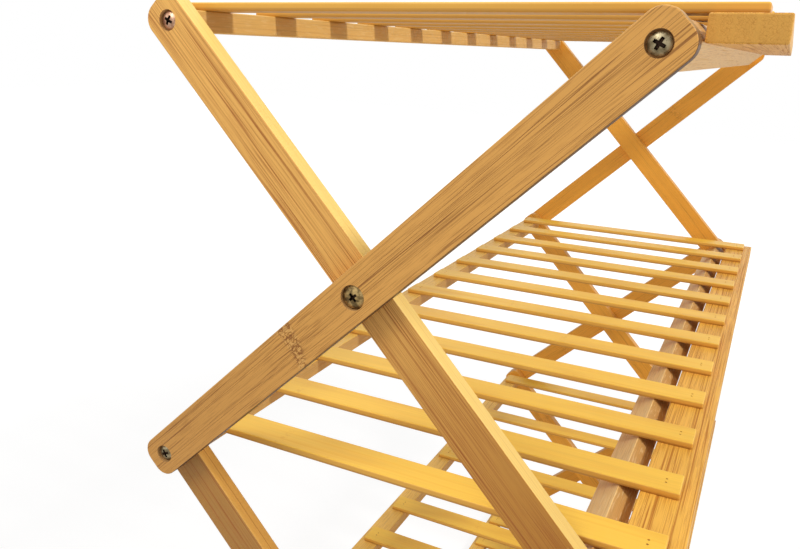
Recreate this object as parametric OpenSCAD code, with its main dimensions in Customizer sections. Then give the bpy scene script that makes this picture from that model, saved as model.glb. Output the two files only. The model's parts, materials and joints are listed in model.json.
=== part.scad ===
// Folding four-tier shoe rack in bamboo.
// Two end frames, each three crossed pairs of legs, close like lazy tongs.
// Slatted shelves hang on the back joints and rest on turned bars at the front joints.
// X runs along the shelves, the front is -Y, and the feet stand on Z = 0.

/* [Overall] */
// Length over the outer faces of the outer legs
rack_length = 740; // [500:5:900]
// Depth from the front joints to the back joints, open
joint_depth = 227; // [200:1:260]
// Height from one row of joints to the next, open
tier_height = 230; // [205:1:260]

/* [Legs] */
// Width of a leg
leg_w = 22; // [20:0.5:28]
// Thickness of a leg
leg_t = 10; // [8:0.5:14]
// Length of a leg past the axis of its end joint
leg_end = 11.5; // [11:0.5:16]
// Radius of the rounded corners at a leg's end
leg_end_r = 8; // [5:0.5:9]
// Gap between the outer and the inner leg of a pair
layer_gap = 0.4; // [0.2:0.1:1]
// Height of the lowest joints over the floor, where the feet are sawn level
foot_h = 11.5; // [10.5:0.1:12]

/* [Back rails and front bars] */
// Width of a back rail
rail_w = 18; // [14:0.5:22]
// Thickness of a back rail
rail_t = 10.5; // [9:0.5:14]
// Gap between a rail's end and the leg that it turns against
end_gap = 0.4; // [0.2:0.1:1]
// Width of a front bar
bar_w = 18; // [14:0.5:18.5]
// Thickness of a front bar
bar_t = 13; // [10:0.5:13.5]

/* [Slats] */
// Number of slats on a shelf
slat_count = 12; // [6:1:14]
// Width of a slat
slat_w = 21; // [15:1:26]
// Thickness of a slat
slat_t = 4; // [3:0.5:6]
// Gap between the last slat of a shelf and the inner leg beside it
slat_end_gap = 8.1; // [1:0.1:20]
// Length of a slat behind the back joint axis
slat_back = 4.5; // [3:0.5:8.5]
// Length of a slat in front of the front joint axis
slat_front = 31.5; // [29:0.5:38]

/* [Front battens] */
// Width of the batten under the front ends of the slats
batten_w = 27; // [22:0.5:34]
// Thickness of the batten
batten_t = 10.5; // [9:0.5:12]
// Distance from the front joint axis to the batten's back edge
batten_back = 12.3; // [12:0.1:14]

/* [Joint screws] */
// Diameter of a screw's pan head
head_d = 8.5; // [7:0.1:9]
// Height of a screw's head
head_h = 2.6; // [2:0.1:3]
// Diameter of the counterbore that holds the head
recess_d = 10; // [9.2:0.1:11]
// Depth of every counterbore
recess_h = 3; // [2:0.1:4]
// Diameter of a screw's shank
shank_d = 4.2; // [3:0.1:5]
// Length of a screw inside the rail or the bar
screw_bite = 25; // [15:1:35]

/* [Crossing bolts] */
// Diameter of the domed head of a bolt and of its barrel nut
bolt_head_d = 11; // [9:0.1:11.4]
// Height of the domed head
bolt_head_h = 2.6; // [2:0.1:3]
// Diameter of the counterbore that holds a domed head
bolt_recess_d = 12; // [11.6:0.1:13]
// Diameter of the barrel that the legs turn on
barrel_d = 7; // [6:0.1:8]
// Diameter of the bolt inside the barrel
bolt_d = 4.8; // [3:0.1:5]
// Gap between the barrel's end and the bolt's head
barrel_gap = 0.2; // [0.1:0.1:1]

/* [Brads] */
// Diameter of a brad
brad_d = 1.3; // [1:0.1:1.6]
// Length of a brad
brad_len = 12; // [9:0.5:13]
// Distance between the two brads at a slat's end
brad_pair = 3.8; // [3:0.1:6]
// Distance from the back joint axis forward to the rear brads
brad_rear = 4.2; // [4:0.1:5]
// Distance from the front joint axis forward to the front brads
brad_front = 23.5; // [18:0.5:26]
// Depth of a brad's head under the slat's face
brad_sunk = 0.4; // [0.1:0.1:1]

/* [Clearances] */
// Radial clearance where a leg turns on a screw or a barrel
turn_clear = 0.05; // [0.02:0.01:0.1]
// Radial clearance of a screw, bolt or brad in the piece that holds it
seat_clear = 0.02; // [0.01:0.01:0.05]
// Gap between a front bar's edge and the slats that rest on it
rest_gap = 0.3; // [0.1:0.1:1]

/* [Hidden] */
$fn = 48;

bamboo = "#DDA24C";
bamboo_light = "#EDBE68";
bamboo_dark = "#C98F42";
bronze = "#6E5B3E";
steel = "#8F8C86";

// Number of tiers, counted from the top shelf
tiers = 4;
// Small length that lets a cut pass its face
cut_past = 1;
// Steps in the outline of a domed head
dome_steps = 6;
// Share of a head's height that is its straight rim
rim_share = 0.3;
// Cross recess of a head, as shares of its diameter and its height
slot_length_share = 0.52;
slot_width_share = 0.11;
slot_depth_share = 0.55;
// Radius of a screw's blunt tip
tip_r = shank_d / 8;
// Solid bottom of a barrel nut, behind the bolt
barrel_bottom = 2;
// Facets around a brad
brad_facets = 24;

leg_angle = atan(tier_height / joint_depth);
leg_pitch = sqrt(tier_height * tier_height + joint_depth * joint_depth);

// Planes along X, measured outwards from the middle
outer_face = rack_length / 2;
outer_back = outer_face - leg_t;
inner_face = outer_back - layer_gap;
inner_back = inner_face - leg_t;

// The top edge of a front bar, from its joint axis
bar_edge_fwd = (bar_w * sin(leg_angle) - bar_t * cos(leg_angle)) / 2;
bar_edge_up = (bar_w * cos(leg_angle) + bar_t * sin(leg_angle)) / 2;

// Slope of an open shelf, whose slats lie over the front bar's top edge
edge_reach = joint_depth + bar_edge_fwd;
edge_radius = sqrt(edge_reach * edge_reach + bar_edge_up * bar_edge_up);
shelf_tilt = atan(bar_edge_up / edge_reach) - asin((rail_t / 2 - rest_gap) / edge_radius);

// The joints are moved back so that the whole rack is centred on Y = 0
shelf_reach = joint_depth + batten_back + batten_w;
batten_drop = batten_t - rail_t / 2;
front_reach = shelf_reach * cos(shelf_tilt) + batten_drop * sin(shelf_tilt) - joint_depth / 2;
leg_corner = leg_end - leg_end_r;
leg_corner_side = leg_w / 2 - leg_end_r;
leg_reach = joint_depth / 2 + leg_end_r + leg_corner * cos(leg_angle) + leg_corner_side * sin(leg_angle);
joint_shift = (front_reach - leg_reach) / 2;
back_y = joint_shift + joint_depth / 2;
front_y = joint_shift - joint_depth / 2;

// Height of the joints of a tier
function joint_z(tier) = foot_h + (tiers - tier) * tier_height;

// Distance from the middle of one slat to the next, spread evenly between the inner legs
slat_pitch = (2 * (inner_back - slat_end_gap) - slat_w) / (slat_count - 1);

// Place along X of a slat
function slat_x(i) = (i - (slat_count - 1) / 2) * slat_pitch;

// A solid disc or rod along X, from x0 to x1, at a joint axis
module rod(x0, x1, d) {
    translate([x0, 0, 0])
        rotate([0, 90, 0])
            cylinder(h = x1 - x0, d = d);
}

// A leg's body along +Y between its two joint axes, with x0 as its inner face
module leg_blank(x0) {
    translate([x0, -leg_corner, -leg_w / 2])
        cube([leg_t, leg_pitch + 2 * leg_corner, leg_w]);
    translate([x0, -leg_end, -leg_corner_side])
        cube([leg_t, leg_pitch + 2 * leg_end, 2 * leg_corner_side]);
    for (y = [-leg_corner, leg_pitch + leg_corner], side = [-1, 1])
        translate([0, y, side * leg_corner_side])
            rod(x0, x0 + leg_t, 2 * leg_end_r);
}

// Bore through a leg at y, with a counterbore in its outer face where asked
module leg_bore(y, x0, bore_d, cb_d, cb_x0, cb_x1) {
    translate([0, y, 0]) {
        rod(x0 - cut_past, x0 + leg_t + cut_past, bore_d);
        if (cb_d > 0)
            rod(cb_x0, cb_x1, cb_d);
    }
}

// A finished leg in its own frame, on the right-hand end of the rack
module leg_solid(outer, low_recess, high_recess) {
    x0 = outer ? outer_back : inner_back;
    x1 = x0 + leg_t;
    bore = shank_d + 2 * turn_clear;
    difference() {
        leg_blank(x0);
        leg_bore(0, x0, bore, low_recess ? recess_d : 0, x1 - recess_h, x1 + cut_past);
        leg_bore(leg_pitch, x0, bore, high_recess ? recess_d : 0, x1 - recess_h, x1 + cut_past);
        leg_bore(leg_pitch / 2, x0, barrel_d + 2 * turn_clear, bolt_recess_d,
            outer ? x1 - recess_h : x0 - cut_past, outer ? x1 + cut_past : x0 + recess_h);
    }
}

// Both ends of the rack mirror each other about X = 0
module at_end(right) {
    mirror([right ? 0 : 1, 0, 0])
        children();
}

// A leg in place: outer legs rise to the front, inner legs rise to the back
module leg(outer, pair, right) {
    has_foot = pair == tiers - 1;
    low_y = outer ? back_y : front_y;
    color(outer ? bamboo_dark : bamboo)
        at_end(right)
            difference() {
                translate([0, low_y, joint_z(pair + 1)])
                    rotate([outer ? 180 - leg_angle : leg_angle, 0, 0])
                        leg_solid(outer, outer || has_foot, outer || pair == 1);
                if (has_foot)
                    translate([0, low_y - leg_w, -leg_w])
                        cube([rack_length, 2 * leg_w, leg_w]);
            }
}

// Half the length of the top bar reaches the outer legs; the others meet the inner legs
function bar_half(tier) = tier == 1 ? outer_back : inner_back;

// The bottom rail turns against the outer legs; the others turn against the inner legs
function rail_half(tier) = (tier == tiers ? outer_back : inner_back) - end_gap;

// Bar at a tier's front joints, set square to the inner legs
module front_bar(tier) {
    half = bar_half(tier);
    color(bamboo_light)
        translate([0, front_y, joint_z(tier)])
            rotate([leg_angle, 0, 0])
                difference() {
                    translate([-half, -bar_t / 2, -bar_w / 2])
                        cube([2 * half, bar_t, bar_w]);
                    for (right = [false, true])
                        at_end(right)
                            rod(half - screw_bite - cut_past, half + cut_past, shank_d + 2 * seat_clear);
                }
}

// Moves a shelf's pieces from the frame of its back joint axis into place
module on_shelf(tier) {
    translate([0, back_y, joint_z(tier)])
        rotate([-shelf_tilt, 0, 0])
            children();
}

// Upright pins at both ends of every slat, as the brads themselves or as their holes
module brad_pins(z_low, z_high, d, ends) {
    for (i = [0 : slat_count - 1], side = [-1, 1], y = ends)
        translate([slat_x(i) + side * brad_pair / 2, y, z_low])
            cylinder(h = z_high - z_low, d = d, $fn = brad_facets);
}

rear_row = -brad_rear;
front_row = -(joint_depth + brad_front);
slat_top = rail_t / 2 + slat_t;
brad_top = slat_top - brad_sunk;
brad_hole_d = brad_d + 2 * seat_clear;

// Rail on a tier's back joint axis, which carries the rear ends of the slats
module back_rail(tier) {
    half = rail_half(tier);
    color(bamboo)
        on_shelf(tier)
            difference() {
                translate([-half, -rail_w / 2, -rail_t / 2])
                    cube([2 * half, rail_w, rail_t]);
                for (right = [false, true])
                    at_end(right)
                        rod(half - screw_bite - cut_past, half + cut_past, shank_d + 2 * seat_clear);
                brad_pins(brad_top - brad_len - brad_sunk, rail_t / 2 + cut_past, brad_hole_d, [rear_row]);
            }
}

// Flat batten under the front ends of the slats, which hooks over the front bar
module front_batten(tier) {
    half = inner_back - end_gap;
    color(bamboo)
        on_shelf(tier)
            difference() {
                translate([-half, -shelf_reach, -batten_drop])
                    cube([2 * half, batten_w, batten_t]);
                brad_pins(brad_top - brad_len - brad_sunk, rail_t / 2 + cut_past, brad_hole_d, [front_row]);
            }
}

// The slats of a shelf, laid on the rail and the batten
module slats(tier) {
    color(bamboo_light)
        on_shelf(tier)
            difference() {
                for (i = [0 : slat_count - 1])
                    translate([slat_x(i) - slat_w / 2, -joint_depth - slat_front, rail_t / 2])
                        cube([slat_w, slat_back + joint_depth + slat_front, slat_t]);
                brad_pins(rail_t / 2 - cut_past, slat_top + cut_past, brad_hole_d, [rear_row, front_row]);
            }
}

// Brads that hold the slats of a shelf
module brads(tier) {
    color(steel)
        on_shelf(tier)
            brad_pins(brad_top - brad_len, brad_top, brad_d, [rear_row, front_row]);
}

// Crossed slots of a driver recess in a head of diameter d and height h, with its crown at x1
module cross_recess(x1, d, h) {
    slot_l = d * slot_length_share;
    slot_w = d * slot_width_share;
    slot_h = h * slot_depth_share;
    for (turn = [0, 90])
        rotate([turn, 0, 0])
            translate([x1 - slot_h, -slot_l / 2, -slot_w / 2])
                cube([slot_h + cut_past, slot_l, slot_w]);
}

// Radius of the ball that a dome of diameter d and height h is cut from
function ball_radius(d, h) = (d * d / 4 + h * h) / (2 * h);

// Points of a dome from its edge to its crown at z_top, where the edge is at angle a_edge
function dome_points(ball_r, a_edge, z_top) = [
    for (i = [dome_steps : -1 : 0])
        [ball_r * sin(a_edge * i / dome_steps), z_top - ball_r * (1 - cos(a_edge * i / dome_steps))]
];

// Outline of a domed head on a straight rim, from its seat at height z0 to its crown
function head_outline(z0, d, h) =
    let (ball_r = ball_radius(d, h * (1 - rim_share)))
    concat([[d / 2, z0]], dome_points(ball_r, asin(d / 2 / ball_r), z0 + h));

// Turns an outline about the X axis
module turned(outline) {
    rotate([0, 90, 0])
        rotate_extrude()
            polygon(outline);
}

// Wood screw from its pointed tip to the seat of its head
module joint_screw(tip, seat) {
    difference() {
        turned(concat([[0, tip], [tip_r, tip], [shank_d / 2, tip + shank_d], [shank_d / 2, seat]],
            head_outline(seat, head_d, head_h)));
        cross_recess(seat + head_h, head_d, head_h);
    }
}

// Screws through the legs into the ends of a front bar
module front_screws(tier) {
    seat = (tier == tiers ? inner_face : outer_face) - recess_h;
    color(bronze)
        translate([0, front_y, joint_z(tier)])
            for (right = [false, true])
                at_end(right)
                    joint_screw(bar_half(tier) - screw_bite, seat);
}

// Screws through the legs into the ends of a back rail
module back_screws(tier) {
    seat = (tier == 1 ? inner_face : outer_face) - recess_h;
    color(bronze)
        translate([0, back_y, joint_z(tier)])
            for (right = [false, true])
                at_end(right)
                    joint_screw(rail_half(tier) - screw_bite, seat);
}

// Moves a piece to the axis where a pair of legs cross, at each end of the rack
module at_crossing(pair) {
    translate([0, joint_shift, (joint_z(pair) + joint_z(pair + 1)) / 2])
        for (right = [false, true])
            at_end(right)
                children();
}

bolt_seat = outer_face - recess_h;
nut_seat = inner_back + recess_h;
barrel_floor = nut_seat + barrel_bottom;
barrel_end = bolt_seat - barrel_gap;
bolt_tip = barrel_floor + cut_past;

// Domed bolts that close the crossing from outside
module crossing_bolts(pair) {
    color(bronze)
        at_crossing(pair)
            difference() {
                turned(concat([[0, bolt_tip], [bolt_d / 2, bolt_tip], [bolt_d / 2, bolt_seat]],
                    head_outline(bolt_seat, bolt_head_d, bolt_head_h)));
                cross_recess(bolt_seat + bolt_head_h, bolt_head_d, bolt_head_h);
            }
}

// Barrel nuts inside the crossing, on which the outer leg turns
module barrel_nuts(pair) {
    bore_r = bolt_d / 2 + seat_clear;
    barrel_r = barrel_d / 2;
    floor_z = nut_seat - barrel_floor;
    mouth_z = nut_seat - barrel_end;
    color(bronze)
        at_crossing(pair)
            translate([nut_seat, 0, 0])
                mirror([1, 0, 0])
                    difference() {
                        turned(concat([[0, floor_z], [bore_r, floor_z], [bore_r, mouth_z],
                            [barrel_r, mouth_z], [barrel_r, 0]],
                            head_outline(0, bolt_head_d, bolt_head_h)));
                        cross_recess(bolt_head_h, bolt_head_d, bolt_head_h);
                    }
}

leg(true, 1, false);  // upper_outer_leg_left
leg(true, 1, true);  // upper_outer_leg_right
leg(false, 1, false);  // upper_inner_leg_left
leg(false, 1, true);  // upper_inner_leg_right
leg(true, 2, false);  // middle_outer_leg_left
leg(true, 2, true);  // middle_outer_leg_right
leg(false, 2, false);  // middle_inner_leg_left
leg(false, 2, true);  // middle_inner_leg_right
leg(true, 3, false);  // lower_outer_leg_left
leg(true, 3, true);  // lower_outer_leg_right
leg(false, 3, false);  // lower_inner_leg_left
leg(false, 3, true);  // lower_inner_leg_right
front_bar(1);  // front_bar_1
front_bar(2);  // front_bar_2
front_bar(3);  // front_bar_3
front_bar(4);  // front_bar_4
back_rail(1);  // back_rail_1
back_rail(2);  // back_rail_2
back_rail(3);  // back_rail_3
back_rail(4);  // back_rail_4
front_batten(1);  // front_batten_1
front_batten(2);  // front_batten_2
front_batten(3);  // front_batten_3
front_batten(4);  // front_batten_4
slats(1);  // slats_1
slats(2);  // slats_2
slats(3);  // slats_3
slats(4);  // slats_4
brads(1);  // brads_1
brads(2);  // brads_2
brads(3);  // brads_3
brads(4);  // brads_4
front_screws(1);  // front_screws_1
front_screws(2);  // front_screws_2
front_screws(3);  // front_screws_3
front_screws(4);  // front_screws_4
back_screws(1);  // back_screws_1
back_screws(2);  // back_screws_2
back_screws(3);  // back_screws_3
back_screws(4);  // back_screws_4
crossing_bolts(1);  // upper_crossing_bolts
crossing_bolts(2);  // middle_crossing_bolts
crossing_bolts(3);  // lower_crossing_bolts
barrel_nuts(1);  // upper_barrel_nuts
barrel_nuts(2);  // middle_barrel_nuts
barrel_nuts(3);  // lower_barrel_nuts
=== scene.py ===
"""Folding bamboo shoe rack with four slatted shelves on crossed legs."""
import json
import math

import bmesh
import bpy
from mathutils import Matrix, Vector


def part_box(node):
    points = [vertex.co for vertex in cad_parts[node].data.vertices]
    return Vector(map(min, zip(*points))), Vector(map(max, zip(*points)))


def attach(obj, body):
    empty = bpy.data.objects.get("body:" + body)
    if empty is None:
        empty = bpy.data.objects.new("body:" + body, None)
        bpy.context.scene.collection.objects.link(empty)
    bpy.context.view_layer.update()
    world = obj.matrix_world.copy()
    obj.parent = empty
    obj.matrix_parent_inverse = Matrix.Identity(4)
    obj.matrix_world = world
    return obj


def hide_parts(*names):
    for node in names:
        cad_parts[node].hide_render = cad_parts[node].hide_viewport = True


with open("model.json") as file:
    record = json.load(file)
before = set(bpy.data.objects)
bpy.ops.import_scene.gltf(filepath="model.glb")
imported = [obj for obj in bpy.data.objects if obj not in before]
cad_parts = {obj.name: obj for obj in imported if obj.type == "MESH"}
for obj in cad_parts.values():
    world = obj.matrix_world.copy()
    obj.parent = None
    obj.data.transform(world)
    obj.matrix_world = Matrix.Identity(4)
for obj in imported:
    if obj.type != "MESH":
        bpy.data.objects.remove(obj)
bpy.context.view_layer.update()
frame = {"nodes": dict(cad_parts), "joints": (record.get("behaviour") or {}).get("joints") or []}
joints = {joint["name"]: Vector(joint["pos_m"]) for joint in frame["joints"]}


# Outer legs
# Six flat bamboo bars, laminated from two plies, that rise from the back joints to the front joints.
# Their ends are rounded, and the screws and the crossing bolts sit in counterbores in their outer faces.

LEG_W = 0.022
LEG_END = 0.0115
LEG_END_R = 0.008
LEG_END_STEPS = 8
LEG_EASE = 0.0006
EASE_ANGLE = math.radians(35)
SMOOTH_ANGLE = math.radians(38)
SHANK_R = 0.0021
BARREL_R = 0.0035
TURN_CLEAR = 0.00005
SCREW_RECESS_R = 0.005
BOLT_RECESS_R = 0.006
RECESS_DEPTH = 0.003

TIER_Z = [joints[name].z for name in ("shelf_1_lift", "shelf_2_lift", "shelf_3_lift", "shelf_4_lift")]
BACK_Y = joints["fold"].y
FRONT_Y = joints["front_joint_3"].y
LEG_ANGLE = math.atan2(TIER_Z[0] - TIER_Z[1], BACK_Y - FRONT_Y)
LEG_PITCH = math.hypot(TIER_Z[0] - TIER_Z[1], BACK_Y - FRONT_Y)
PAIRS = ("upper", "middle", "lower")
SIDES = {"left": -1, "right": 1}
WHITE = (1.0, 1.0, 1.0, 1.0)


class Wire:
    """An output socket of a finish. A sum or product of wires adds its own Math nodes."""

    def __init__(self, finish, socket):
        self.finish = finish
        self.socket = socket

    def maths(self, operation, *values):
        return self.finish.node("ShaderNodeMath", {"operation": operation}, dict(enumerate(values)))

    def __add__(self, other):
        return self.maths("ADD", self, other)

    def __radd__(self, other):
        return self.maths("ADD", other, self)

    def __sub__(self, other):
        return self.maths("SUBTRACT", self, other)

    def __rsub__(self, other):
        return self.maths("SUBTRACT", other, self)

    def __mul__(self, other):
        return self.maths("MULTIPLY", self, other)

    def __rmul__(self, other):
        return self.maths("MULTIPLY", other, self)

    def __truediv__(self, other):
        return self.maths("DIVIDE", self, other)

    def __abs__(self):
        return self.maths("ABSOLUTE", self)

    def floor(self):
        return self.maths("FLOOR", self)


class Finish:
    """A material, or the room's own white, as it is painted, node by node."""

    def __init__(self, name, world=False):
        self.material = bpy.data.worlds.new(name) if world else bpy.data.materials.new(name)
        self.material.use_nodes = True
        self.tree = self.material.node_tree
        self.tree.nodes.clear()

    def node(self, kind, settings=None, values=None, output=0):
        made = self.tree.nodes.new(kind)
        for key, value in (settings or {}).items():
            setattr(made, key, value)
        for key, value in (values or {}).items():
            if isinstance(value, Wire):
                self.tree.links.new(value.socket, made.inputs[key])
            else:
                made.inputs[key].default_value = value
        return Wire(self, made.outputs[output]) if made.outputs else None

    def split(self, vector):
        first = self.node("ShaderNodeSeparateXYZ", None, {0: vector})
        outputs = first.socket.node.outputs
        return [Wire(self, outputs[axis]) for axis in "XYZ"]

    def join(self, x, y, z):
        return self.node("ShaderNodeCombineXYZ", None, {0: x, 1: y, 2: z})

    def step(self, value, low, high):
        """0 below low and 1 above high, with a smooth rise between, or a fall where low is above."""
        return self.node("ShaderNodeMapRange", {"interpolation_type": "SMOOTHSTEP"}, {
            "Value": value, "From Min": low, "From Max": high})

    def noise(self, vector, seed, detail=2.0, distortion=0.0):
        return self.node("ShaderNodeTexNoise", {"noise_dimensions": "4D"}, {
            "Vector": vector, "W": seed, "Scale": 1.0, "Detail": detail, "Distortion": distortion})

    def blend(self, share, first, second):
        return self.node("ShaderNodeMix", {"data_type": "RGBA"}, {0: share, 6: first, 7: second}, 2)

    def dim(self, shade, factor):
        return self.node("ShaderNodeVectorMath", {"operation": "SCALE"}, {
            "Vector": shade, "Scale": factor})

    def tint(self, shade, stain):
        return self.node("ShaderNodeVectorMath", {"operation": "MULTIPLY"}, {0: shade, 1: stain})

    def surface(self, **values):
        """Closes the finish with its shader and gives the material."""
        shader = self.node("ShaderNodeBsdfPrincipled", None, {
            key.replace("_", " "): value for key, value in values.items()})
        self.node("ShaderNodeOutputMaterial", None, {"Surface": shader})
        return self.material


def colour(red, green, blue):
    """A linear colour from the three bytes that a paint chart gives."""
    def linear(byte):
        share = byte / 255
        return share / 12.92 if share <= 0.04045 else ((share + 0.055) / 1.055) ** 2.4
    return (linear(red), linear(green), linear(blue), 1.0)


# Where a mark on the wood starts and where it is full, in shares of the surface's direction
WIDE_FACE = (0.55, 0.8)
END_FACE = (0.6, 0.8)
# Where the under edge's own colour, which is painted light and shade, starts and is full
PAINTED_LIGHTING_EDGE = (-0.4, 0.4)
# The same in metres: along a leg for the painted shade at its low end, and out from a knot and a glue line
LOW_END_SHADE = (0.04, -0.15)
KNOT_REACH = (0.030, 0.004)
KNOT_BAND = (0.0050, 0.0026)
KNOT_WAVER = 0.008
KNOT_LEAN = 0.10
GLUE_LINE = (0.00040, 0.00010)


def bamboo(name, seed, centre, turn, face_axis, look, knots=()):
    """Lacquered bamboo whose fibres run along the piece's own Y axis.

    centre and turn place the piece's own axes, and face_axis is the one that points out of its wide
    faces. seed shifts every noise, and a number that multiplies a place is in cycles per metre. A knot
    is a place along the fibres and a slant. look holds the colours of the wide face, of the upper and
    the under edge, where an under edge darker than the upper is painted shade and a paler one painted
    light, and of the dark and pale marks, the tint of painted shade at the low end, the grain's cycles
    per metre, the width and sway of its lines, and how strong each mark is.
    """
    finish = Finish(name)
    place = finish.node("ShaderNodeTexCoord", output="Object")
    out = finish.node("ShaderNodeTexCoord", output="Normal")
    own = finish.node("ShaderNodeMapping", {"vector_type": "TEXTURE"}, {
        "Vector": place, "Location": centre, "Rotation": turn})
    own_out = finish.node("ShaderNodeMapping", {"vector_type": "TEXTURE"}, {
        "Vector": out, "Rotation": turn})
    x, along, z = finish.split(own)
    out_x, out_y, out_z = finish.split(own_out)
    across, depth = (z, x) if face_axis == "X" else (x, z)
    out_across = out_z if face_axis == "X" else out_x
    facing = finish.step(abs(out_x if face_axis == "X" else out_z), *WIDE_FACE)
    end_grain = finish.step(abs(out_y), *END_FACE)

    sway = finish.noise(finish.join(along * 9.0, depth * 20.0, 0.0), seed + 7.3, 1.0) - 0.5
    bent = across + sway * look["sway"]
    grain = look["grain"]
    tone = finish.noise(finish.join(bent * 150.0, along * 2.5, depth * 80.0), seed + 11.9, 1.0)
    fibre = finish.noise(finish.join(bent * grain, along * 2.6, depth * grain), seed, 0.0)
    thread = finish.noise(
        finish.join(bent * grain * 2.3, along * 6.0, depth * grain * 2.0), seed + 1.7, 0.0)
    strength = finish.noise(finish.join(bent * 260.0, along * 14.0, 0.0), seed + 9.1, 1.0)
    hair = finish.noise(finish.join(bent * 1800.0, along * 55.0, depth * 1000.0), seed + 3.1, 1.0)
    fleck = finish.noise(finish.join(bent * 1400.0, along * 150.0, depth * 1300.0), seed + 5.7, 0.0)

    lines = finish.step(abs(fibre - 0.5), look["line"], look["line"] * 0.25)
    threads = finish.step(abs(thread - 0.5), look["line"] * 1.3, look["line"] * 0.3)
    streaks = (lines + threads * 0.75) * finish.step(strength, 0.32, 0.48)
    hairs = finish.step(hair, 0.52, 0.62)
    # The under edge takes its own colour: painted shade where it is darker than the upper edge, painted
    # light where it is paler
    edge = finish.blend(finish.step(out_across, *PAINTED_LIGHTING_EDGE), look["edge"], look["under"])
    wood = finish.blend(facing, edge, look["face"])
    # Painted shade: a leg darkens towards its low end, lightly on the outer legs and strongly on the inner
    # legs
    painted_low_shade = finish.step(along, *LOW_END_SHADE) * (facing * 0.65 + 0.35)
    wood = finish.tint(wood, finish.blend(painted_low_shade, WHITE, look["low"]))
    wood = finish.dim(wood, 1.0 + (tone - 0.5) * look["tone"] + (hair - 0.5) * look["fine"])
    streak_share = streaks * (facing * (look["streak"] - look["edge_streak"]) + look["edge_streak"])
    wood = finish.blend(streak_share, wood, look["dark"])
    hair_share = look["hair"]
    for knot_at, slant in knots:
        waver = finish.noise(finish.join(across * 120.0, knot_at * 40.0, 0.0), seed + 4.4, 1.0) - 0.5
        off = along - (knot_at + slant * across + waver * KNOT_WAVER)
        near = finish.step(abs(off), *KNOT_REACH)
        hair_share = hair_share + near * look["hair"]
        loops = finish.noise(
            finish.join(across * 340.0, along * 320.0, depth * 300.0), seed + 2.2, 0.5, 1.2)
        ring = abs(loops - 0.5)
        band = finish.step(abs(off) + across * KNOT_LEAN, *KNOT_BAND) * facing
        pale_share = band * finish.step(ring, 0.05, 0.12) * 0.4 * look["knot"]
        dark_share = band * finish.step(ring, 0.07, 0.02) * look["knot"]
        wood = finish.blend(pale_share, wood, look["pale"])
        wood = finish.blend(dark_share, wood, look["dark"])
    wood = finish.blend(hairs * facing * hair_share, wood, look["dark"])
    wood = finish.blend(finish.step(fleck, 0.56, 0.70) * look["fleck"], wood, look["pale"])
    if look["glue"]:
        line = finish.step(abs(depth), *GLUE_LINE)
        wood = finish.blend(line * look["glue"], wood, look["dark"])
    wood = finish.blend(end_grain * 0.25, wood, look["dark"])
    relief = finish.node("ShaderNodeBump", None, {
        "Strength": 0.3, "Distance": 0.0002, "Height": 1.0 - streaks * 0.7 - hairs * 0.3})
    return finish.surface(Base_Color=wood, Roughness=0.42 + streaks * 0.12, Normal=relief,
                          Specular_IOR_Level=0.3)


# Painted shade: the under edge of the outer legs, which faces down to the front, is near black-brown
LEG_LOOK = {
    "face": colour(226, 167, 87), "edge": colour(232, 186, 110), "under": colour(92, 60, 28),
    "dark": colour(132, 78, 32), "pale": colour(240, 194, 122), "low": (0.88, 0.85, 0.80, 1.0),
    "grain": 430.0, "line": 0.024, "sway": 0.0007, "tone": 0.12, "fine": 0.22, "streak": 0.75,
    "edge_streak": 0.06, "hair": 0.28, "fleck": 0.0, "glue": 0.15, "knot": 0.75,
}
# The far end's legs: a plainer copy of the leg colours whose brighter face is painted light over the shade
# of the shelves
FAR_PAINTED_LIGHT_LOOK = dict(
    LEG_LOOK, face=colour(246, 178, 70), edge=colour(230, 168, 80), under=colour(230, 168, 80),
    low=WHITE, streak=0.3, hair=0.12, knot=0.25)


def select_only(piece):
    bpy.ops.object.select_all(action="DESELECT")
    piece.select_set(True)
    bpy.context.view_layer.objects.active = piece


def add_block(name, size):
    """A box at the origin with the given three sizes."""
    bpy.ops.object.select_all(action="DESELECT")
    bpy.ops.mesh.primitive_cube_add(size=1.0)
    piece = bpy.context.object
    piece.name = name
    piece.scale = size
    bpy.ops.object.transform_apply(location=False, rotation=False, scale=True)
    return piece


def bevel_edges(piece, wanted, offset, segments):
    """Rounds the edges whose two ends pass the test."""
    select_only(piece)
    bpy.ops.object.mode_set(mode="EDIT")
    bpy.ops.mesh.select_mode(type="EDGE")
    bpy.ops.mesh.select_all(action="DESELECT")
    shape = bmesh.from_edit_mesh(piece.data)
    for edge in shape.edges:
        edge.select_set(wanted(edge.verts[0].co, edge.verts[1].co))
    bmesh.update_edit_mesh(piece.data)
    bpy.ops.mesh.bevel(offset=offset, segments=segments, affect="EDGES")
    bpy.ops.object.mode_set(mode="OBJECT")


def carve(piece, tool):
    """Cuts the tool's shape out of a piece. The cut takes the tool's material, where it has one."""
    select_only(piece)
    cut = piece.modifiers.new("cut", "BOOLEAN")
    cut.operation = "DIFFERENCE"
    cut.solver = "EXACT"
    cut.material_mode = "TRANSFER" if tool.data.materials else "INDEX"
    cut.object = tool
    bpy.ops.object.modifier_apply(modifier=cut.name)
    bpy.data.objects.remove(tool)


bored = Finish("bored_bamboo")
bored_place = bored.node("ShaderNodeTexCoord", output="Object")
bored_wood = bored.surface(
    Base_Color=bored.blend(bored.noise(bored.dim(bored_place, 700.0), 2.0, 3.0), colour(164, 120, 70),
                           colour(214, 166, 104)),
    Roughness=0.7)


def drill(piece, centre, axis, radius, depth, sides=40):
    """Bores a round hole, centred at a point, along X or Z."""
    turn = (0, math.pi / 2, 0) if axis == "X" else (0, 0, 0)
    bpy.ops.object.select_all(action="DESELECT")
    bpy.ops.mesh.primitive_cylinder_add(
        vertices=sides, radius=radius, depth=depth, location=centre, rotation=turn)
    bit = bpy.context.object
    bit.data.materials.append(bored_wood)
    carve(piece, bit)


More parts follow.
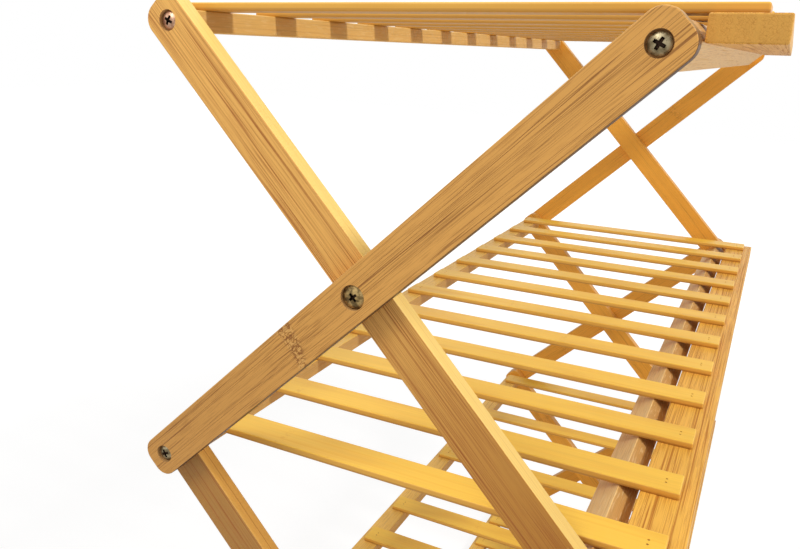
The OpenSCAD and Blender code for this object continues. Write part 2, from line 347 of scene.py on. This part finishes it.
def settle(piece, turn, place):
    """Turns a piece and moves it to its place, then leaves its object at the origin."""
    select_only(piece)
    piece.rotation_euler = turn
    piece.location = place
    bpy.ops.object.transform_apply(location=True, rotation=True, scale=True)


def ease(piece, width, segments=3):
    """Takes the sharpness off every arris."""
    select_only(piece)
    bevel = piece.modifiers.new("ease", "BEVEL")
    bevel.width = width
    bevel.segments = segments
    bevel.limit_method = "ANGLE"
    bevel.angle_limit = EASE_ANGLE
    bpy.ops.object.modifier_apply(modifier=bevel.name)


def smooth(piece):
    """Shades the rounds as rounds and keeps the flats flat."""
    select_only(piece)
    bpy.ops.object.shade_smooth_by_angle(angle=SMOOTH_ANGLE)
    flat = piece.modifiers.new("flat", "WEIGHTED_NORMAL")
    flat.keep_sharp = True
    bpy.ops.object.modifier_apply(modifier=flat.name)


def model_leg(node, outer, pair, side, look, knot):
    """One leg, square to its own axes at first, then turned into its place and bored."""
    low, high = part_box(node)
    thick = high.x - low.x
    foot = pair == len(PAIRS) - 1
    leg = add_block(node + "_wood", (thick, LEG_PITCH + 2 * LEG_END, LEG_W))
    bevel_edges(leg, lambda a, b: abs(a.x - b.x) > thick / 2, LEG_END_R, LEG_END_STEPS)
    turn = (math.pi - LEG_ANGLE if outer else LEG_ANGLE, 0, 0)
    centre = Vector((
        (low.x + high.x) / 2, (BACK_Y + FRONT_Y) / 2, (TIER_Z[pair] + TIER_Z[pair + 1]) / 2))
    settle(leg, turn, centre)
    seed = (1.0 if outer else 41.0) + 2.7 * pair + 13.1 * (side + 1)
    leg.data.materials.append(bamboo(node + "_bamboo", seed, centre, turn, "X", look, [knot]))
    if foot:
        bpy.ops.object.mode_set(mode="EDIT")
        bpy.ops.mesh.select_all(action="SELECT")
        bpy.ops.mesh.bisect(plane_co=(0, 0, 0), plane_no=(0, 0, 1), use_fill=True, clear_inner=True)
        bpy.ops.object.mode_set(mode="OBJECT")
    ease(leg, LEG_EASE)
    outwards = Vector((side * thick / 2, 0, 0))
    half_way = Matrix.Rotation(turn[0], 3, "X") @ Vector((0, LEG_PITCH / 2, 0))
    for end, has_recess in ((-1, outer or foot), (1, outer or pair == 0)):
        joint = centre + half_way * end
        drill(leg, joint, "X", SHANK_R + TURN_CLEAR, 2 * thick)
        if has_recess:
            drill(leg, joint + outwards, "X", SCREW_RECESS_R, 2 * RECESS_DEPTH)
    drill(leg, centre, "X", BARREL_R + TURN_CLEAR, 2 * thick)
    drill(leg, centre + (outwards if outer else -outwards), "X", BOLT_RECESS_R, 2 * RECESS_DEPTH)
    smooth(leg)
    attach(leg, f"{PAIRS[pair]}_{'outer' if outer else 'inner'}_frame")
    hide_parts(node)


def toned(look, share):
    """A look with its face and edge colours brought down by a share."""
    down = [tuple(value * share for value in look[part][:3]) + (1.0,) for part in ("face", "edge")]
    return dict(look, face=down[0], edge=down[1])


# The knot of the upper, middle and lower leg at each end of the rack: its place along the leg from the
# crossing, and its slant
OUTER_KNOTS = {
    "left": ((-0.0433, -0.12), (0.082, 0.1), (-0.095, 0.15)),
    "right": ((0.061, 0.1), (-0.075, -0.1), (0.02, 0.15)),
}
OUTER_LOOKS = {
    "left": (LEG_LOOK, toned(LEG_LOOK, 0.9), toned(LEG_LOOK, 0.95)),
    "right": (FAR_PAINTED_LIGHT_LOOK, toned(FAR_PAINTED_LIGHT_LOOK, 0.95), toned(FAR_PAINTED_LIGHT_LOOK, 0.9)),
}
for side_name, side in SIDES.items():
    for pair, pair_name in enumerate(PAIRS):
        model_leg(f"{pair_name}_outer_leg_{side_name}", True, pair, side,
                  OUTER_LOOKS[side_name][pair], OUTER_KNOTS[side_name][pair])


# Inner legs
# Six more bars, paler but for a brown one, that rise to the back joints inside the outer legs. They are
# counterbored on the inside for the barrel nuts, and on the outside only where a screw starts in them.

# Painted light: the under edge of the inner legs, which faces up to the front, is paler than the upper
INNER_LOOK = dict(
    LEG_LOOK, face=colour(241, 184, 98), edge=colour(236, 184, 96), under=colour(248, 212, 122),
    dark=colour(168, 98, 42), low=(0.62, 0.50, 0.30, 1.0), grain=760.0, line=0.05, streak=0.62, hair=0.22)
BROWN_LOOK = dict(
    INNER_LOOK, face=colour(187, 136, 66), edge=colour(216, 158, 72), under=colour(224, 168, 80),
    low=WHITE, glue=0.6)
INNER_KNOTS = {
    "left": ((-0.148, 0.1), (0.05, 0.15), (-0.03, -0.1)),
    "right": ((0.1, 0.1), (-0.06, -0.15), (0.09, 0.1)),
}
INNER_LOOKS = {
    "left": (INNER_LOOK, BROWN_LOOK, toned(INNER_LOOK, 0.9)),
    "right": (FAR_PAINTED_LIGHT_LOOK, toned(FAR_PAINTED_LIGHT_LOOK, 0.92), toned(FAR_PAINTED_LIGHT_LOOK, 0.96)),
}
for side_name, side in SIDES.items():
    for pair, pair_name in enumerate(PAIRS):
        model_leg(f"{pair_name}_inner_leg_{side_name}", False, pair, side,
                  INNER_LOOKS[side_name][pair], INNER_KNOTS[side_name][pair])


# Front bars
# Square-sawn bamboo bars between the legs at the front joints, turned with the legs, that carry the
# shelves' fronts. The top one is longer and is screwed to the outer legs, the others to the inner legs.

BAR_W = 0.018
BAR_T = 0.013
BAR_EASE = 0.0010
# Partly the sawn faces' own tone and partly painted light and shade: a bar's face colour is pale and its
# edge colour dark
BAR_LOOK = dict(
    LEG_LOOK, face=colour(255, 212, 140), edge=colour(200, 152, 86), under=colour(200, 152, 86),
    dark=colour(180, 130, 76), pale=colour(255, 232, 184), low=WHITE, grain=420.0, line=0.03,
    sway=0.0006, tone=0.12, streak=0.15, edge_streak=0.15, hair=0.3, fleck=0.25, glue=0.0)
BAR_BODIES = ("upper_outer_frame", "upper_inner_frame", "middle_inner_frame", "lower_inner_frame")


def model_beam(node, section, tilt, centre, arris, seed, face_axis, look):
    """One straight beam as long as its node, turned about its own length, with its bamboo."""
    low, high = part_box(node)
    beam = add_block(node + "_wood", (high.x - low.x, *section))
    settle(beam, (tilt, 0, 0), centre)
    ease(beam, arris)
    smooth(beam)
    beam.data.materials.append(bamboo(
        node + "_bamboo", seed, centre, (0, tilt, -math.pi / 2), face_axis, look))
    return beam


for tier, body in enumerate(BAR_BODIES):
    node = f"front_bar_{tier + 1}"
    bar = model_beam(node, (BAR_T, BAR_W), LEG_ANGLE, (0, FRONT_Y, TIER_Z[tier]), BAR_EASE,
                     61.0 + 5.3 * tier, "X", BAR_LOOK)
    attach(bar, body)
    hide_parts(node)


# Back rails
# A flat bar along each back joint, which turns on its two screws and carries the slats' back ends.
# Every shelf is turned a little about it, because its front lies on the top edge of the front bar.

RAIL_W = 0.018
RAIL_T = 0.0105
RAIL_EASE = 0.0008
RAIL_LOOK = dict(
    BAR_LOOK, face=colour(246, 198, 98), edge=colour(218, 170, 94), under=colour(218, 170, 94),
    dark=colour(160, 110, 54), tone=0.2, fleck=0.1, streak=0.2, edge_streak=0.25)
BATTEN_W = 0.027
BATTEN_T = 0.0105


def shelf_tilt():
    """The slope of the shelves, from a batten's box, whose width and thickness are known."""
    low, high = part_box("front_batten_1")
    corner = math.atan2(BATTEN_T, BATTEN_W)
    return math.asin((high.z - low.z) / math.hypot(BATTEN_W, BATTEN_T)) - corner


TILT = shelf_tilt()


def shelf_point(tier, x, y, z):
    """A point given from a shelf's back joint axis, along the shelf and square to it."""
    return Vector((x, BACK_Y, TIER_Z[tier])) + Matrix.Rotation(-TILT, 3, "X") @ Vector((0, y, z))


for tier in range(4):
    node = f"back_rail_{tier + 1}"
    rail = model_beam(node, (RAIL_W, RAIL_T), -TILT, shelf_point(tier, 0, 0, 0), RAIL_EASE,
                      83.0 + 4.1 * tier, "Z", RAIL_LOOK)
    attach(rail, f"shelf_{tier + 1}")
    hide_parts(node)


# Front battens
# A wide flat bamboo strip with straight, strong grain. The slats' front ends are bradded to it, and it lies
# in front of the front bar, so that the shelf hooks over the bar.

BATTEN_GAP = 0.0123
BATTEN_REACH = BACK_Y - FRONT_Y + BATTEN_GAP + BATTEN_W
BATTEN_LOOK = dict(
    BAR_LOOK, face=colour(240, 184, 78), edge=colour(232, 178, 86), under=colour(232, 178, 86),
    dark=colour(182, 116, 38), pale=colour(255, 226, 140), grain=820.0, line=0.06, sway=0.0003,
    tone=0.3, streak=0.75, edge_streak=0.3, hair=0.4, fleck=0.0)
for tier in range(4):
    node = f"front_batten_{tier + 1}"
    centre = shelf_point(tier, 0, BATTEN_W / 2 - BATTEN_REACH, RAIL_T / 2 - BATTEN_T / 2)
    batten = model_beam(node, (BATTEN_W, BATTEN_T), -TILT, centre, RAIL_EASE,
                        101.0 + 6.7 * tier, "Z", BATTEN_LOOK)
    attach(batten, f"shelf_{tier + 1}")
    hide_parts(node)


# Slats
# Twelve thin golden bamboo strips to a shelf, with rounded arrises. Each lies across the back rail and the
# front batten, and is bored at both ends for two brads.

SLAT_COUNT = 12
SLAT_W = 0.021
SLAT_T = 0.004
SLAT_BACK = 0.0045
SLAT_OVERHANG = 0.0315
SLAT_FRONT = BACK_Y - FRONT_Y + SLAT_OVERHANG
SLAT_EASE = 0.0009
BRAD_HOLE_R = 0.00067
BRAD_HOLE_SIDES = 12
BRAD_PAIR = 0.0038
BRAD_REAR = 0.0042
BRAD_OVERHANG = 0.0235
BRAD_FRONT = BACK_Y - FRONT_Y + BRAD_OVERHANG

slats_low, slats_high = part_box("slats_1")
SLAT_PITCH = (slats_high.x - slats_low.x - SLAT_W) / (SLAT_COUNT - 1)
SLAT_LOOK = {
    "face": colour(248, 200, 77), "edge": colour(232, 176, 78), "dark": colour(222, 160, 56),
    "under": colour(176, 122, 62),
}
SLAT_MIDDLE = RAIL_T / 2 + SLAT_T / 2
SLAT_TOP = (0.45, 0.9)
SLAT_UNDER = (SLAT_MIDDLE - 0.0002, SLAT_MIDDLE - 0.0009)
SLAT_KNOT = (0.003, 0.001)


def slat_bamboo(name, seed, centre):
    """Smooth golden bamboo, faintly streaked, with its own shade and a faint knot on each slat."""
    finish = Finish(name)
    place = finish.node("ShaderNodeTexCoord", output="Object")
    out = finish.node("ShaderNodeTexCoord", output="Normal")
    own = finish.node("ShaderNodeMapping", {"vector_type": "TEXTURE"}, {
        "Vector": place, "Location": centre, "Rotation": (-TILT, 0, 0)})
    across, along, depth = finish.split(own)
    upward = finish.step(abs(finish.split(out)[2]), *SLAT_TOP)
    number = (across / SLAT_PITCH + SLAT_COUNT / 2).floor()
    own_shade = finish.node("ShaderNodeTexWhiteNoise", {"noise_dimensions": "1D"}, {"W": number + seed})
    own_place = finish.node("ShaderNodeTexWhiteNoise", {"noise_dimensions": "1D"}, {
        "W": number + seed + 31.7})
    shifted = number * 7.13 + seed
    grain = finish.noise(finish.join(across * 330.0, along * 4.0, depth * 300.0), shifted, 3.0)
    fine = finish.noise(finish.join(across * 1600.0, along * 20.0, depth * 1200.0), shifted, 1.0)
    streaks = finish.step(grain, 0.52, 0.72)
    cloud = finish.noise(finish.join(across * 60.0, along * 14.0, 0.0), shifted + 5.0, 1.0)
    wood = finish.blend(upward, SLAT_LOOK["edge"], SLAT_LOOK["face"])
    wood = finish.blend(finish.step(depth, *SLAT_UNDER) * 0.6, wood, SLAT_LOOK["under"])
    wood = finish.blend(finish.step(cloud, 0.45, 0.70) * 0.35, wood, SLAT_LOOK["dark"])
    wood = finish.dim(wood, 0.95 + own_shade * 0.08 + (fine - 0.5) * 0.16 + (grain - 0.5) * 0.16)
    wood = finish.blend(streaks * 0.30, wood, SLAT_LOOK["dark"])
    knot = abs(along - (own_place - 0.5) * 0.2)
    cells = finish.noise(finish.join(across * 500.0, along * 450.0, 0.0), shifted, 2.0, 1.0)
    knot_share = finish.step(knot, *SLAT_KNOT) * finish.step(cells, 0.5, 0.6) * upward * 0.35
    wood = finish.blend(knot_share, wood, SLAT_LOOK["dark"])
    relief = finish.node("ShaderNodeBump", None, {
        "Strength": 0.2, "Distance": 0.0002, "Height": 1.0 - streaks * 0.6})
    return finish.surface(Base_Color=wood, Roughness=0.38 + streaks * 0.1, Normal=relief,
                          Specular_IOR_Level=0.3)


def model_slat(name):
    """One slat, with Y = 0 on the back joint axis and Z = 0 in its own middle."""
    slat = add_block(name, (SLAT_W, SLAT_BACK + SLAT_FRONT, SLAT_T))
    settle(slat, (0, 0, 0), (0, (SLAT_BACK - SLAT_FRONT) / 2, 0))
    ease(slat, SLAT_EASE)
    for x in (-BRAD_PAIR / 2, BRAD_PAIR / 2):
        for y in (-BRAD_REAR, -BRAD_FRONT):
            drill(slat, (x, y, 0), "Z", BRAD_HOLE_R, 2 * SLAT_T, BRAD_HOLE_SIDES)
    smooth(slat)
    return slat


def copy_of(piece):
    """A copy with a mesh of its own."""
    twin = piece.copy()
    twin.data = piece.data.copy()
    bpy.context.scene.collection.objects.link(twin)
    return twin


def join_all(pieces, name):
    """Makes one object of several."""
    bpy.ops.object.select_all(action="DESELECT")
    for piece in pieces:
        piece.select_set(True)
    bpy.context.view_layer.objects.active = pieces[0]
    bpy.ops.object.join()
    whole = bpy.context.object
    whole.name = name
    return whole


pattern_slat = model_slat("pattern_slat")
for tier in range(4):
    row = []
    for number in range(SLAT_COUNT):
        slat = copy_of(pattern_slat)
        x = (number - (SLAT_COUNT - 1) / 2) * SLAT_PITCH
        settle(slat, (-TILT, 0, 0), shelf_point(tier, x, 0, SLAT_MIDDLE))
        row.append(slat)
    slats = join_all(row, f"slats_{tier + 1}_wood")
    slats.data.materials.clear()
    slats.data.materials.append(slat_bamboo(
        f"slats_{tier + 1}_bamboo", 7.0 + 19.0 * tier, shelf_point(tier, 0, -SLAT_FRONT / 2, 0)))
    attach(slats, f"shelf_{tier + 1}")
    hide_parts(f"slats_{tier + 1}")
bpy.data.objects.remove(pattern_slat)


# Brads
# Headless steel pins that hold the slats to the rails and battens, two at each end of a slat. They are
# set just under the slats' faces, and the lacquer has dulled them.

brad_finish = Finish("brad_steel")
brad_place = brad_finish.node("ShaderNodeTexCoord", output="Object")
brad_mottle = brad_finish.noise(brad_finish.dim(brad_place, 900.0), 3.0)
brad_material = brad_finish.surface(
    Base_Color=brad_finish.blend(brad_mottle, colour(138, 98, 54), colour(168, 126, 74)),
    Metallic=0.3, Roughness=0.6)
for tier in range(4):
    brads = frame["nodes"][f"brads_{tier + 1}"]
    brads.data.materials.clear()
    brads.data.materials.append(brad_material)


# Joint screws
# Pan-headed plated steel screws with a cross recess, driven through the legs into the ends of the bars and
# rails, with their heads in counterbores. The top back ones are coppery and the others greyed bronze.

SCREW_HEAD_D = 0.0085
HEAD_H = 0.0026
RIM_SHARE = 0.5
DOME_STEPS = 7
SLOT_LENGTH = 0.80
SLOT_WIDTH = 0.22
SLOT_DEPTH = 0.6
SLOT_TAPER = 0.5
FLAT_END = 0.9
SCREW_BITE = 0.025
TIP_R = 0.0005


def plating(name, dark, light, speck, seed):
    """Mottled plating on steel, worn lighter in patches."""
    finish = Finish(name)
    place = finish.node("ShaderNodeTexCoord", output="Object")
    mottle = finish.noise(finish.dim(place, 380.0), seed, 4.0)
    specks = finish.noise(finish.dim(place, 1700.0), seed + 4.0, 1.0)
    metal = finish.blend(finish.step(mottle, 0.40, 0.60), dark, light)
    metal = finish.blend(finish.step(specks, 0.58, 0.70) * 0.6, metal, speck)
    return finish.surface(Base_Color=metal, Metallic=0.85, Roughness=0.30 + mottle * 0.25)


copper = plating("coppery_plating", colour(188, 144, 116), colour(228, 188, 158), colour(140, 100, 78), 5.0)
nickel_bronze = plating(
    "greyed_bronze", colour(130, 116, 86), colour(180, 166, 132), colour(84, 72, 50), 13.0)
# Near black in the cross recesses of every head: partly patina in the hollows, partly painted shade
recess_patina_and_shade = plating("recess_patina_and_shade", colour(46, 30, 20), colour(70, 48, 32), colour(30, 20, 14), 8.0)


def pick_end(piece, up):
    """Opens a piece in edit mode with only its flat top selected, or its flat bottom where up is -1."""
    select_only(piece)
    bpy.ops.object.mode_set(mode="EDIT")
    bpy.ops.mesh.select_mode(type="FACE")
    bpy.ops.mesh.select_all(action="DESELECT")
    shape = bmesh.from_edit_mesh(piece.data)
    for face in shape.faces:
        face.select_set(face.normal.z * up > FLAT_END)
    bmesh.update_edit_mesh(piece.data)


def draw_out(piece, *stages):
    """Draws the flat underside of a head out into its shank.

    Each stage draws the face in by an inset, out along a cone, and then straight by a length.
    """
    pick_end(piece, -1)
    for inset, cone, length in stages:
        bpy.ops.mesh.inset(thickness=inset, depth=cone)
        if length:
            bpy.ops.mesh.extrude_region_move(TRANSFORM_OT_translate={"value": (0.0, 0.0, -length)})
    bpy.ops.object.mode_set(mode="OBJECT")
    return piece


def model_head(name, width, plate, slot_share=1.0):
    """A domed head that sits on Z = 0, turned from a disc ring by ring, with a cross recess."""
    rim = HEAD_H * RIM_SHARE
    dome = HEAD_H - rim
    ball = (width * width / 4 + dome * dome) / (2 * dome)
    edge = math.asin(width / 2 / ball)
    bpy.ops.object.select_all(action="DESELECT")
    bpy.ops.mesh.primitive_cylinder_add(vertices=40, radius=width / 2, depth=rim)
    head = bpy.context.object
    head.name = name
    settle(head, (0, 0, 0), (0, 0, rim / 2))
    pick_end(head, 1)
    for ring in range(DOME_STEPS, 1, -1):
        here, there = edge * ring / DOME_STEPS, edge * (ring - 1) / DOME_STEPS
        bpy.ops.mesh.inset(thickness=ball * (math.sin(here) - math.sin(there)),
                           depth=ball * (math.cos(there) - math.cos(here)))
    bpy.ops.object.mode_set(mode="OBJECT")
    head.data.materials.append(plate)
    for quarter in (0, math.pi / 2):
        blade = add_block("blade", (
            width * SLOT_LENGTH * slot_share, width * SLOT_WIDTH * slot_share, 2 * HEAD_H * SLOT_DEPTH))
        pick_end(blade, -1)
        bpy.ops.transform.resize(value=(SLOT_TAPER, SLOT_TAPER, 1.0))
        bpy.ops.object.mode_set(mode="OBJECT")
        settle(blade, (0, 0, quarter), (0, 0, HEAD_H))
        blade.data.materials.append(recess_patina_and_shade)
        carve(head, blade)
    return head


def set_pair(name, pattern, seat, y, z, roll, facing=1):
    """Copies a fastener to both ends of the rack, its head facing out, or in at -1, and joins the two."""
    both = []
    for side in SIDES.values():
        one = copy_of(pattern)
        settle(one, (0, 0, roll + side), (0, 0, 0))
        settle(one, (0, facing * side * math.pi / 2, 0), (side * seat, y, z))
        both.append(one)
    fasteners = join_all(both, name)
    smooth(fasteners)
    return fasteners


SCREW_PLATES = {
    "front": (nickel_bronze,) * 4,
    "back": (copper, nickel_bronze, nickel_bronze, nickel_bronze),
}
SCREW_BODIES = {
    "front": BAR_BODIES,
    "back": ("shelf_1", "shelf_2", "shelf_3", "back_foot_pivot"),
}
for row_name, beam, row_y in (("front", "front_bar", FRONT_Y), ("back", "back_rail", BACK_Y)):
    for tier in range(4):
        node = f"{row_name}_screws_{tier + 1}"
        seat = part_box(node)[1].x - HEAD_H
        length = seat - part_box(f"{beam}_{tier + 1}")[1].x + SCREW_BITE
        pattern_screw = draw_out(
            model_head("pattern_screw", SCREW_HEAD_D, SCREW_PLATES[row_name][tier]),
            (SCREW_HEAD_D / 2 - SHANK_R, 0.0, length - 2 * SHANK_R), (SHANK_R - TIP_R, 2 * SHANK_R, 0.0))
        screws = set_pair(node + "_metal", pattern_screw, seat, row_y, TIER_Z[tier], 0.55 + 0.9 * tier)
        bpy.data.objects.remove(pattern_screw)
        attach(screws, SCREW_BODIES[row_name][tier])
        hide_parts(node)


# Crossing bolts and barrel nuts
# Wide domed heads in dark antique bronze. A bolt from outside closes on a barrel nut from inside, and the
# outer leg turns on the barrel.

BOLT_HEAD_D = 0.011
BOLT_R = 0.0024
BARREL_BOTTOM = 0.002
BARREL_GAP = 0.0002
BOLT_SHORT = 0.001
BOLT_SLOT_SHARE = 0.72
bronze = plating("antique_bronze", colour(110, 90, 56), colour(192, 162, 106), colour(62, 48, 30), 21.0)

for pair, pair_name in enumerate(PAIRS):
    body = f"{pair_name}_inner_frame"
    place = ((BACK_Y + FRONT_Y) / 2, (TIER_Z[pair] + TIER_Z[pair + 1]) / 2)
    bolt_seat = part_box(f"{pair_name}_crossing_bolts")[1].x - HEAD_H
    nut_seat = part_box(f"{pair_name}_inner_leg_right")[0].x + RECESS_DEPTH
    barrel = bolt_seat - BARREL_GAP - nut_seat
    pattern_bolt = draw_out(
        model_head("pattern_bolt", BOLT_HEAD_D, bronze, BOLT_SLOT_SHARE),
        (BOLT_HEAD_D / 2 - BOLT_R, 0.0, barrel - BARREL_BOTTOM - BOLT_SHORT))
    bolts = set_pair(
        f"{pair_name}_crossing_bolts_metal", pattern_bolt, bolt_seat, *place, 0.2 + 0.7 * pair)
    pattern_nut = draw_out(
        model_head("pattern_nut", BOLT_HEAD_D, bronze, BOLT_SLOT_SHARE),
        (BOLT_HEAD_D / 2 - BARREL_R, 0.0, barrel), (BARREL_R - BOLT_R, 0.0, BARREL_BOTTOM - barrel))
    nuts = set_pair(
        f"{pair_name}_barrel_nuts_metal", pattern_nut, nut_seat, *place, 0.4 + 0.6 * pair, -1)
    for pattern in (pattern_bolt, pattern_nut):
        bpy.data.objects.remove(pattern)
    for piece, node in ((bolts, f"{pair_name}_crossing_bolts"), (nuts, f"{pair_name}_barrel_nuts")):
        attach(piece, body)
        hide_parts(node)


# Cover discs
# Thin bamboo discs from the legs' own stock, pressed flush into the counterbores over the barrel nuts. The
# grain of the inner legs runs on across them, so their inner faces look whole.

DISC_FIT = 0.00002
DISC_R = BOLT_RECESS_R - DISC_FIT
DISC_T = RECESS_DEPTH - HEAD_H - DISC_FIT
for side_name, side in SIDES.items():
    for pair, pair_name in enumerate(PAIRS):
        leg_low, leg_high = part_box(f"{pair_name}_inner_leg_{side_name}")
        face_x = leg_high.x if side < 0 else leg_low.x
        bpy.ops.object.select_all(action="DESELECT")
        bpy.ops.mesh.primitive_cylinder_add(
            vertices=48, radius=DISC_R, depth=DISC_T, rotation=(0, math.pi / 2, 0), location=(
                face_x + side * DISC_T / 2, (BACK_Y + FRONT_Y) / 2,
                (TIER_Z[pair] + TIER_Z[pair + 1]) / 2))
        disc = bpy.context.object
        disc.name = f"{pair_name}_cover_disc_{side_name}"
        bpy.ops.object.transform_apply(location=True, rotation=True, scale=True)
        ease(disc, DISC_T / 8, 2)
        smooth(disc)
        disc.data.materials.append(bpy.data.materials[f"{pair_name}_inner_leg_{side_name}_bamboo"])
        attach(disc, f"{pair_name}_inner_frame")


# Studio
# A floor that keeps the rack's shadow near it and is plain white further out, a white room, a key light in
# front and above, a side light by the left end, and the camera close to that end, by the top shelf.

FLOOR_SIZE = 14.0
FLOOR_GLOW = 1.16
NEAR_GLOW = 0.70
MORE_GLOW_FAR = 0.30
GLOW_RISE = (0.8, 1.7)
bpy.ops.object.select_all(action="DESELECT")
bpy.ops.mesh.primitive_plane_add(size=FLOOR_SIZE, location=(0, 0, 0))
floor = bpy.context.object
floor.name = "floor"
floor_finish = Finish("white_floor")
floor_paint = floor_finish.node("ShaderNodeBsdfDiffuse", None, {"Color": (0.9, 0.9, 0.9, 1.0)})
floor_glow = floor_finish.node("ShaderNodeEmission", None, {"Color": WHITE, "Strength": FLOOR_GLOW})
floor_place = floor_finish.node("ShaderNodeTexCoord", output="Object")
reach = floor_finish.node("ShaderNodeVectorMath", {"operation": "LENGTH"}, {0: floor_place}, "Value")
seen = floor_finish.node("ShaderNodeLightPath", output="Is Camera Ray")
glow_share = seen * (NEAR_GLOW + floor_finish.step(reach, *GLOW_RISE) * MORE_GLOW_FAR)
floor_mix = floor_finish.node("ShaderNodeMixShader", None, {0: glow_share, 1: floor_paint, 2: floor_glow})
floor_finish.node("ShaderNodeOutputMaterial", None, {"Surface": floor_mix})
floor.data.materials.append(floor_finish.material)

ROOM_FILL = 0.48
room = Finish("white_room", world=True)
bpy.context.scene.world = room.material
camera_ray = room.node("ShaderNodeLightPath", output="Is Camera Ray")
glossy_ray = room.node("ShaderNodeLightPath", output="Is Glossy Ray")
room_seen = camera_ray.maths("MAXIMUM", camera_ray, glossy_ray)
room_fill = room.node("ShaderNodeBackground", None, {
    "Color": (1.0, 0.98, 0.95, 1.0), "Strength": ROOM_FILL})
room_white = room.node("ShaderNodeBackground", None, {"Color": WHITE, "Strength": 1.0})
room_mix = room.node("ShaderNodeMixShader", None, {0: room_seen, 1: room_fill, 2: room_white})
room.node("ShaderNodeOutputWorld", None, {"Surface": room_mix})


def add_light(name, place, aim, size, power):
    bpy.ops.object.light_add(type="AREA", location=place)
    light = bpy.context.object
    light.name = name
    light.data.shape = "SQUARE"
    light.data.size = size
    light.data.energy = power
    light.rotation_euler = (Vector(aim) - Vector(place)).to_track_quat("-Z", "Y").to_euler()


add_light("key_light", place=(-0.4, -1.7, 2.1), aim=(-0.1, 0.0, 0.5), size=0.30, power=30.5)
add_light("side_light", place=(-0.95, 0.32, 1.30), aim=(-0.37, 0.05, 0.6), size=0.40, power=4.1)

CAMERA_PLACE = (-0.65956, -0.14096, 0.69816)
CAMERA_YAW = math.radians(27.242)
CAMERA_PITCH = math.radians(-17.060)
CAMERA_ROLL = math.radians(3.054)
CAMERA_LENS = 34.753
CAMERA_FILM = 36.0
CAMERA_SHIFT = (0.0454, 0.0009)
CAMERA_NEAR = 0.01
bpy.ops.object.camera_add(location=CAMERA_PLACE)
camera = bpy.context.object
camera.name = "camera"
camera.rotation_euler = (
    Matrix.Rotation(CAMERA_YAW - math.pi / 2, 3, "Z") @ Matrix.Rotation(math.pi / 2 + CAMERA_PITCH, 3, "X")
    @ Matrix.Rotation(CAMERA_ROLL, 3, "Z")).to_euler()
camera.data.sensor_width = CAMERA_FILM
camera.data.lens = CAMERA_LENS
camera.data.shift_x, camera.data.shift_y = CAMERA_SHIFT
camera.data.clip_start = CAMERA_NEAR
bpy.context.scene.camera = camera
bpy.context.scene.view_settings.view_transform = "Standard"
